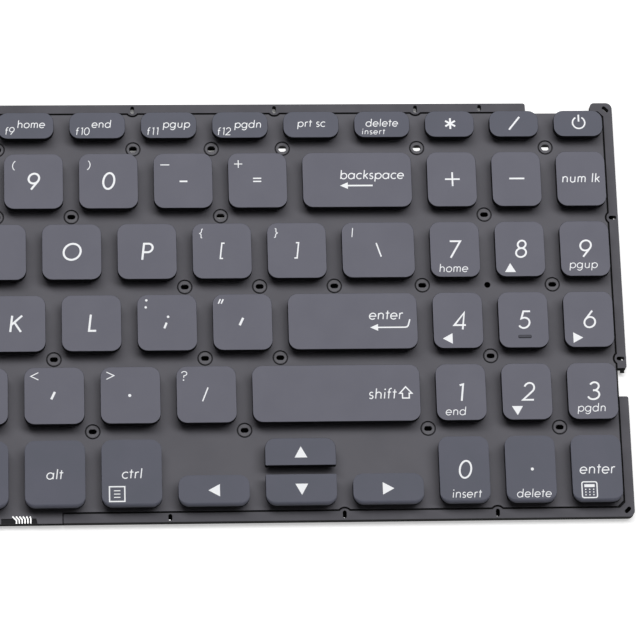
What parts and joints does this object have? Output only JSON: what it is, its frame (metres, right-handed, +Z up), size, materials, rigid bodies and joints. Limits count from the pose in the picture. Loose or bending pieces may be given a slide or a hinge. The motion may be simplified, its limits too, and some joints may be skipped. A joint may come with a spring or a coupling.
{
  "type": "laptop replacement keyboard",
  "caption": "Flat laptop keyboard module: sprung key caps over scissor links and rubber domes on a membrane in a riveted metal base plate, with number pad and arrow keys.",
  "frame": {"origin": "middle of the underside of the base plate's rim", "axes": "+X to the right of someone typing, +Y to the rear row of keys, +Z up out of the key tops"},
  "size_m": [0.3324, 0.1114, 0.0058],
  "materials": {
    "cap_plastic": "fine matte texture, dark grey",
    "sheet_film": "matt printed polyester film, dark grey",
    "plate_metal": "matt dark grey coating",
    "dome_rubber": "matt dark grey silicone rubber",
    "link_plastic": "moulded black acetal",
    "wire_steel": "plain spring steel wire"
  },
  "bodies": {
    "base": {"base_plate": "plate_metal", "membrane": "sheet_film", "left_keys": "cap_plastic", "rubber_domes": "dome_rubber", "scissor_links": "link_plastic", "stabiliser_wires": "wire_steel"},
    "key_0": {"key_0": "cap_plastic"},
    "key_9": {"key_9": "cap_plastic"},
    "key_arrow_down": {"key_arrow_down": "cap_plastic"},
    "key_arrow_left": {"key_arrow_left": "cap_plastic"},
    "key_arrow_right": {"key_arrow_right": "cap_plastic"},
    "key_arrow_up": {"key_arrow_up": "cap_plastic"},
    "key_backslash": {"key_backslash": "cap_plastic"},
    "key_backspace": {"key_backspace": "cap_plastic"},
    "key_comma": {"key_comma": "cap_plastic"},
    "key_delete": {"key_delete": "cap_plastic"},
    "key_enter": {"key_enter": "cap_plastic"},
    "key_equals": {"key_equals": "cap_plastic"},
    "key_f10": {"key_f10": "cap_plastic"},
    "key_f11": {"key_f11": "cap_plastic"},
    "key_f12": {"key_f12": "cap_plastic"},
    "key_f9": {"key_f9": "cap_plastic"},
    "key_i": {"key_i": "cap_plastic"},
    "key_k": {"key_k": "cap_plastic"},
    "key_l": {"key_l": "cap_plastic"},
    "key_left_bracket": {"key_left_bracket": "cap_plastic"},
    "key_m": {"key_m": "cap_plastic"},
    "key_minus": {"key_minus": "cap_plastic"},
    "key_o": {"key_o": "cap_plastic"},
    "key_p": {"key_p": "cap_plastic"},
    "key_pad_0": {"key_pad_0": "cap_plastic"},
    "key_pad_1": {"key_pad_1": "cap_plastic"},
    "key_pad_2": {"key_pad_2": "cap_plastic"},
    "key_pad_3": {"key_pad_3": "cap_plastic"},
    "key_pad_4": {"key_pad_4": "cap_plastic"},
    "key_pad_5": {"key_pad_5": "cap_plastic"},
    "key_pad_6": {"key_pad_6": "cap_plastic"},
    "key_pad_7": {"key_pad_7": "cap_plastic"},
    "key_pad_8": {"key_pad_8": "cap_plastic"},
    "key_pad_9": {"key_pad_9": "cap_plastic"},
    "key_pad_divide": {"key_pad_divide": "cap_plastic"},
    "key_pad_enter": {"key_pad_enter": "cap_plastic"},
    "key_pad_lock": {"key_pad_lock": "cap_plastic"},
    "key_pad_minus": {"key_pad_minus": "cap_plastic"},
    "key_pad_multiply": {"key_pad_multiply": "cap_plastic"},
    "key_pad_plus": {"key_pad_plus": "cap_plastic"},
    "key_pad_point": {"key_pad_point": "cap_plastic"},
    "key_pad_power": {"key_pad_power": "cap_plastic"},
    "key_period": {"key_period": "cap_plastic"},
    "key_print_screen": {"key_print_screen": "cap_plastic"},
    "key_quote": {"key_quote": "cap_plastic"},
    "key_right_alt": {"key_right_alt": "cap_plastic"},
    "key_right_bracket": {"key_right_bracket": "cap_plastic"},
    "key_right_control": {"key_right_control": "cap_plastic"},
    "key_right_shift": {"key_right_shift": "cap_plastic"},
    "key_semicolon": {"key_semicolon": "cap_plastic"},
    "key_slash": {"key_slash": "cap_plastic"},
    "key_space": {"key_space": "cap_plastic"}
  },
  "joints": [
    {"name": "key_0_press", "type": "slide", "parent": "base", "child": "key_0", "axis": [0, 0, -1], "range_m": [0, 0.0014], "stiffness_N_per_m": 300, "deforming": ["rubber_domes", "scissor_links"]},
    {"name": "key_9_press", "type": "slide", "parent": "base", "child": "key_9", "axis": [0, 0, -1], "range_m": [0, 0.0014], "stiffness_N_per_m": 300, "deforming": ["rubber_domes", "scissor_links"]},
    {"name": "key_arrow_down_press", "type": "slide", "parent": "base", "child": "key_arrow_down", "axis": [0, 0, -1], "range_m": [0, 0.0014], "stiffness_N_per_m": 300, "deforming": ["rubber_domes"]},
    {"name": "key_arrow_left_press", "type": "slide", "parent": "base", "child": "key_arrow_left", "axis": [0, 0, -1], "range_m": [0, 0.0014], "stiffness_N_per_m": 300, "deforming": ["rubber_domes"]},
    {"name": "key_arrow_right_press", "type": "slide", "parent": "base", "child": "key_arrow_right", "axis": [0, 0, -1], "range_m": [0, 0.0014], "stiffness_N_per_m": 300, "deforming": ["rubber_domes"]},
    {"name": "key_arrow_up_press", "type": "slide", "parent": "base", "child": "key_arrow_up", "axis": [0, 0, -1], "range_m": [0, 0.0014], "stiffness_N_per_m": 300, "deforming": ["rubber_domes"]},
    {"name": "key_backslash_press", "type": "slide", "parent": "base", "child": "key_backslash", "axis": [0, 0, -1], "range_m": [0, 0.0014], "stiffness_N_per_m": 300, "deforming": ["rubber_domes", "scissor_links"]},
    {"name": "key_backspace_press", "type": "slide", "parent": "base", "child": "key_backspace", "axis": [0, 0, -1], "range_m": [0, 0.0014], "stiffness_N_per_m": 300, "deforming": ["rubber_domes", "scissor_links", "stabiliser_wires"]},
    {"name": "key_comma_press", "type": "slide", "parent": "base", "child": "key_comma", "axis": [0, 0, -1], "range_m": [0, 0.0014], "stiffness_N_per_m": 300, "deforming": ["rubber_domes", "scissor_links"]},
    {"name": "key_delete_press", "type": "slide", "parent": "base", "child": "key_delete", "axis": [0, 0, -1], "range_m": [0, 0.0014], "stiffness_N_per_m": 300, "deforming": ["rubber_domes"]},
    {"name": "key_enter_press", "type": "slide", "parent": "base", "child": "key_enter", "axis": [0, 0, -1], "range_m": [0, 0.0014], "stiffness_N_per_m": 300, "deforming": ["rubber_domes", "scissor_links", "stabiliser_wires"]},
    {"name": "key_equals_press", "type": "slide", "parent": "base", "child": "key_equals", "axis": [0, 0, -1], "range_m": [0, 0.0014], "stiffness_N_per_m": 300, "deforming": ["rubber_domes", "scissor_links"]},
    {"name": "key_f10_press", "type": "slide", "parent": "base", "child": "key_f10", "axis": [0, 0, -1], "range_m": [0, 0.0014], "stiffness_N_per_m": 300, "deforming": ["rubber_domes"]},
    {"name": "key_f11_press", "type": "slide", "parent": "base", "child": "key_f11", "axis": [0, 0, -1], "range_m": [0, 0.0014], "stiffness_N_per_m": 300, "deforming": ["rubber_domes"]},
    {"name": "key_f12_press", "type": "slide", "parent": "base", "child": "key_f12", "axis": [0, 0, -1], "range_m": [0, 0.0014], "stiffness_N_per_m": 300, "deforming": ["rubber_domes"]},
    {"name": "key_f9_press", "type": "slide", "parent": "base", "child": "key_f9", "axis": [0, 0, -1], "range_m": [0, 0.0014], "stiffness_N_per_m": 300, "deforming": ["rubber_domes"]},
    {"name": "key_i_press", "type": "slide", "parent": "base", "child": "key_i", "axis": [0, 0, -1], "range_m": [0, 0.0014], "stiffness_N_per_m": 300, "deforming": ["rubber_domes", "scissor_links"]},
    {"name": "key_k_press", "type": "slide", "parent": "base", "child": "key_k", "axis": [0, 0, -1], "range_m": [0, 0.0014], "stiffness_N_per_m": 300, "deforming": ["rubber_domes", "scissor_links"]},
    {"name": "key_l_press", "type": "slide", "parent": "base", "child": "key_l", "axis": [0, 0, -1], "range_m": [0, 0.0014], "stiffness_N_per_m": 300, "deforming": ["rubber_domes", "scissor_links"]},
    {"name": "key_left_bracket_press", "type": "slide", "parent": "base", "child": "key_left_bracket", "axis": [0, 0, -1], "range_m": [0, 0.0014], "stiffness_N_per_m": 300, "deforming": ["rubber_domes", "scissor_links"]},
    {"name": "key_m_press", "type": "slide", "parent": "base", "child": "key_m", "axis": [0, 0, -1], "range_m": [0, 0.0014], "stiffness_N_per_m": 300, "deforming": ["rubber_domes", "scissor_links"]},
    {"name": "key_minus_press", "type": "slide", "parent": "base", "child": "key_minus", "axis": [0, 0, -1], "range_m": [0, 0.0014], "stiffness_N_per_m": 300, "deforming": ["rubber_domes", "scissor_links"]},
    {"name": "key_o_press", "type": "slide", "parent": "base", "child": "key_o", "axis": [0, 0, -1], "range_m": [0, 0.0014], "stiffness_N_per_m": 300, "deforming": ["rubber_domes", "scissor_links"]},
    {"name": "key_p_press", "type": "slide", "parent": "base", "child": "key_p", "axis": [0, 0, -1], "range_m": [0, 0.0014], "stiffness_N_per_m": 300, "deforming": ["rubber_domes", "scissor_links"]},
    {"name": "key_pad_0_press", "type": "slide", "parent": "base", "child": "key_pad_0", "axis": [0, 0, -1], "range_m": [0, 0.0014], "stiffness_N_per_m": 300, "deforming": ["rubber_domes", "scissor_links"]},
    {"name": "key_pad_1_press", "type": "slide", "parent": "base", "child": "key_pad_1", "axis": [0, 0, -1], "range_m": [0, 0.0014], "stiffness_N_per_m": 300, "deforming": ["rubber_domes", "scissor_links"]},
    {"name": "key_pad_2_press", "type": "slide", "parent": "base", "child": "key_pad_2", "axis": [0, 0, -1], "range_m": [0, 0.0014], "stiffness_N_per_m": 300, "deforming": ["rubber_domes", "scissor_links"]},
    {"name": "key_pad_3_press", "type": "slide", "parent": "base", "child": "key_pad_3", "axis": [0, 0, -1], "range_m": [0, 0.0014], "stiffness_N_per_m": 300, "deforming": ["rubber_domes", "scissor_links"]},
    {"name": "key_pad_4_press", "type": "slide", "parent": "base", "child": "key_pad_4", "axis": [0, 0, -1], "range_m": [0, 0.0014], "stiffness_N_per_m": 300, "deforming": ["rubber_domes", "scissor_links"]},
    {"name": "key_pad_5_press", "type": "slide", "parent": "base", "child": "key_pad_5", "axis": [0, 0, -1], "range_m": [0, 0.0014], "stiffness_N_per_m": 300, "deforming": ["rubber_domes", "scissor_links"]},
    {"name": "key_pad_6_press", "type": "slide", "parent": "base", "child": "key_pad_6", "axis": [0, 0, -1], "range_m": [0, 0.0014], "stiffness_N_per_m": 300, "deforming": ["rubber_domes", "scissor_links"]},
    {"name": "key_pad_7_press", "type": "slide", "parent": "base", "child": "key_pad_7", "axis": [0, 0, -1], "range_m": [0, 0.0014], "stiffness_N_per_m": 300, "deforming": ["rubber_domes", "scissor_links"]},
    {"name": "key_pad_8_press", "type": "slide", "parent": "base", "child": "key_pad_8", "axis": [0, 0, -1], "range_m": [0, 0.0014], "stiffness_N_per_m": 300, "deforming": ["rubber_domes", "scissor_links"]},
    {"name": "key_pad_9_press", "type": "slide", "parent": "base", "child": "key_pad_9", "axis": [0, 0, -1], "range_m": [0, 0.0014], "stiffness_N_per_m": 300, "deforming": ["rubber_domes", "scissor_links"]},
    {"name": "key_pad_divide_press", "type": "slide", "parent": "base", "child": "key_pad_divide", "axis": [0, 0, -1], "range_m": [0, 0.0014], "stiffness_N_per_m": 300, "deforming": ["rubber_domes"]},
    {"name": "key_pad_enter_press", "type": "slide", "parent": "base", "child": "key_pad_enter", "axis": [0, 0, -1], "range_m": [0, 0.0014], "stiffness_N_per_m": 300, "deforming": ["rubber_domes", "scissor_links"]},
    {"name": "key_pad_lock_press", "type": "slide", "parent": "base", "child": "key_pad_lock", "axis": [0, 0, -1], "range_m": [0, 0.0014], "stiffness_N_per_m": 300, "deforming": ["rubber_domes", "scissor_links"]},
    {"name": "key_pad_minus_press", "type": "slide", "parent": "base", "child": "key_pad_minus", "axis": [0, 0, -1], "range_m": [0, 0.0014], "stiffness_N_per_m": 300, "deforming": ["rubber_domes", "scissor_links"]},
    {"name": "key_pad_multiply_press", "type": "slide", "parent": "base", "child": "key_pad_multiply", "axis": [0, 0, -1], "range_m": [0, 0.0014], "stiffness_N_per_m": 300, "deforming": ["rubber_domes"]},
    {"name": "key_pad_plus_press", "type": "slide", "parent": "base", "child": "key_pad_plus", "axis": [0, 0, -1], "range_m": [0, 0.0014], "stiffness_N_per_m": 300, "deforming": ["rubber_domes", "scissor_links"]},
    {"name": "key_pad_point_press", "type": "slide", "parent": "base", "child": "key_pad_point", "axis": [0, 0, -1], "range_m": [0, 0.0014], "stiffness_N_per_m": 300, "deforming": ["rubber_domes", "scissor_links"]},
    {"name": "key_pad_power_press", "type": "slide", "parent": "base", "child": "key_pad_power", "axis": [0, 0, -1], "range_m": [0, 0.0014], "stiffness_N_per_m": 300, "deforming": ["rubber_domes"]},
    {"name": "key_period_press", "type": "slide", "parent": "base", "child": "key_period", "axis": [0, 0, -1], "range_m": [0, 0.0014], "stiffness_N_per_m": 300, "deforming": ["rubber_domes", "scissor_links"]},
    {"name": "key_print_screen_press", "type": "slide", "parent": "base", "child": "key_print_screen", "axis": [0, 0, -1], "range_m": [0, 0.0014], "stiffness_N_per_m": 300, "deforming": ["rubber_domes"]},
    {"name": "key_quote_press", "type": "slide", "parent": "base", "child": "key_quote", "axis": [0, 0, -1], "range_m": [0, 0.0014], "stiffness_N_per_m": 300, "deforming": ["rubber_domes", "scissor_links"]},
    {"name": "key_right_alt_press", "type": "slide", "parent": "base", "child": "key_right_alt", "axis": [0, 0, -1], "range_m": [0, 0.0014], "stiffness_N_per_m": 300, "deforming": ["rubber_domes", "scissor_links"]},
    {"name": "key_right_bracket_press", "type": "slide", "parent": "base", "child": "key_right_bracket", "axis": [0, 0, -1], "range_m": [0, 0.0014], "stiffness_N_per_m": 300, "deforming": ["rubber_domes", "scissor_links"]},
    {"name": "key_right_control_press", "type": "slide", "parent": "base", "child": "key_right_control", "axis": [0, 0, -1], "range_m": [0, 0.0014], "stiffness_N_per_m": 300, "deforming": ["rubber_domes", "scissor_links"]},
    {"name": "key_right_shift_press", "type": "slide", "parent": "base", "child": "key_right_shift", "axis": [0, 0, -1], "range_m": [0, 0.0014], "stiffness_N_per_m": 300, "deforming": ["rubber_domes", "scissor_links", "stabiliser_wires"]},
    {"name": "key_semicolon_press", "type": "slide", "parent": "base", "child": "key_semicolon", "axis": [0, 0, -1], "range_m": [0, 0.0014], "stiffness_N_per_m": 300, "deforming": ["rubber_domes", "scissor_links"]},
    {"name": "key_slash_press", "type": "slide", "parent": "base", "child": "key_slash", "axis": [0, 0, -1], "range_m": [0, 0.0014], "stiffness_N_per_m": 300, "deforming": ["rubber_domes", "scissor_links"]},
    {"name": "key_space_press", "type": "slide", "parent": "base", "child": "key_space", "axis": [0, 0, -1], "range_m": [0, 0.0014], "stiffness_N_per_m": 300, "deforming": ["rubber_domes", "scissor_links", "stabiliser_wires"]}
  ]
}
